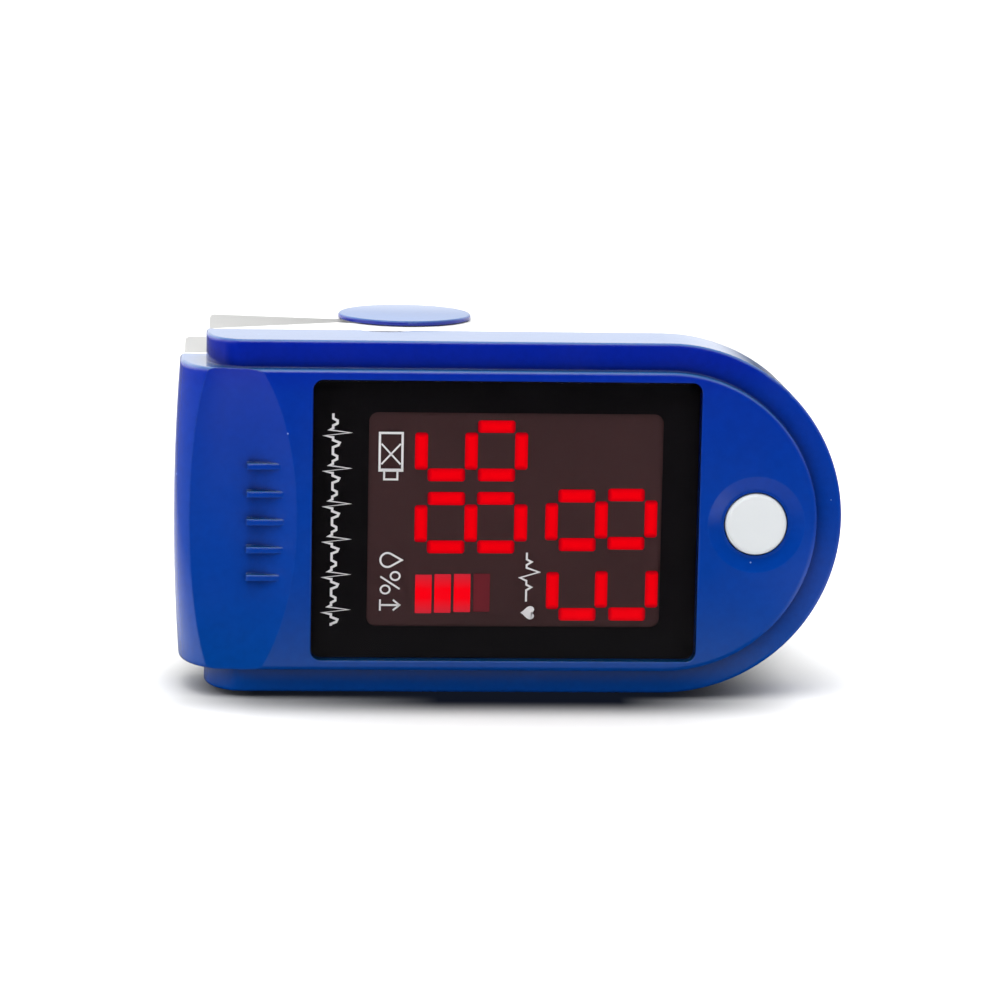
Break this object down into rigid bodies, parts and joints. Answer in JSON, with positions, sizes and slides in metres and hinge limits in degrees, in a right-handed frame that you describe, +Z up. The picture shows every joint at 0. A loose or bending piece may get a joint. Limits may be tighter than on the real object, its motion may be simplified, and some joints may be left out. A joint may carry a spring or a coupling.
{
  "type": "fingertip pulse oximeter",
  "caption": "Clip-on fingertip oximeter with a sprung two-half jaw, padded finger channel, lit red LED readout, push button and sliding battery door.",
  "frame": {"origin": "centre of the footprint when it stands on its long side, on the surface it rests on", "axes": "+X from the push end to the finger opening, +Y from the display to the battery door, +Z up, across the finger's width; the jaw opens about +Z"},
  "size_m": [0.0584, 0.03, 0.0319],
  "materials": {
    "blue_plastic": "moulded ABS, fine satin grain with a soft gloss",
    "white_plastic": "moulded ABS, satin",
    "white_button": "moulded ABS, smooth",
    "window_lens": "clear tinted acrylic, polished",
    "black_print": "screen-printed border",
    "display_face": "dark tinted LED module face",
    "led_red": "lit LED segment",
    "led_dim": "barely lit LED segment",
    "circuit_board": "green solder resist",
    "black_plastic": "moulded package",
    "switch_metal": "stamped cover",
    "steel": "zinc plated",
    "ceramic_parts": "chip components",
    "silicone": "soft silicone",
    "clear_lens": "clear epoxy",
    "led_die": "emitter package",
    "photo_die": "photodiode package",
    "ribbon_film": "polyimide flat cable",
    "battery_can": "plain cell jacket with a bright end",
    "contact_metal": "nickel plated spring steel"
  },
  "bodies": {
    "display_half": {"top_cover": "blue_plastic", "display_window": "window_lens", "window_border": "black_print", "display_module": "display_face", "lit_digits": "led_red", "pulse_bars": "led_red", "pulse_bar_dim": "led_dim", "main_board": "circuit_board", "tact_switch": "switch_metal", "microcontroller": "black_plastic", "signal_chip": "black_plastic", "clock_crystal": "steel", "ribbon_socket": "black_plastic", "board_passives": "ceramic_parts", "upper_shell": "white_plastic", "cover_screws": "steel", "upper_finger_pad": "silicone", "emitter_window": "clear_lens", "emitter_leds": "led_die", "emitter_board": "circuit_board"},
    "button": {"power_button": "white_button", "switch_plunger": "black_plastic"},
    "battery_half": {"lower_shell": "white_plastic", "finger_cradle": "white_plastic", "cradle_screws": "steel", "lower_finger_pad": "silicone", "sensor_window": "clear_lens", "photodiode": "photo_die", "sensor_board": "circuit_board", "sensor_ribbon": "ribbon_film", "battery_a": "battery_can", "battery_b": "battery_can", "battery_spring": "contact_metal", "end_contacts": "contact_metal", "bridge_contact": "contact_metal", "hinge_pins": "steel", "hinge_cap_bottom": "blue_plastic", "hinge_cap_top": "blue_plastic", "jaw_spring_bottom": "steel", "jaw_spring_top": "steel"},
    "door": {"battery_door": "blue_plastic"}
  },
  "joints": [
    {"name": "jaw_hinge", "type": "hinge", "parent": "display_half", "child": "battery_half", "pos_m": [-0.00865, 0.00285, 0.01594], "axis": [0, 0, 1], "range_deg": [0, 20], "stiffness_Nm_per_rad": 0.14, "springref_deg": -20.05, "deforming": ["jaw_spring_bottom", "jaw_spring_top", "sensor_ribbon"]},
    {"name": "button_press", "type": "slide", "parent": "display_half", "child": "button", "axis": [0, 1, 0], "range_m": [0, 0.0003], "stiffness_N_per_m": 1500},
    {"name": "door_slide", "type": "slide", "parent": "battery_half", "child": "door", "axis": [1, 0, 0], "range_m": [0, 0.028]}
  ]
}
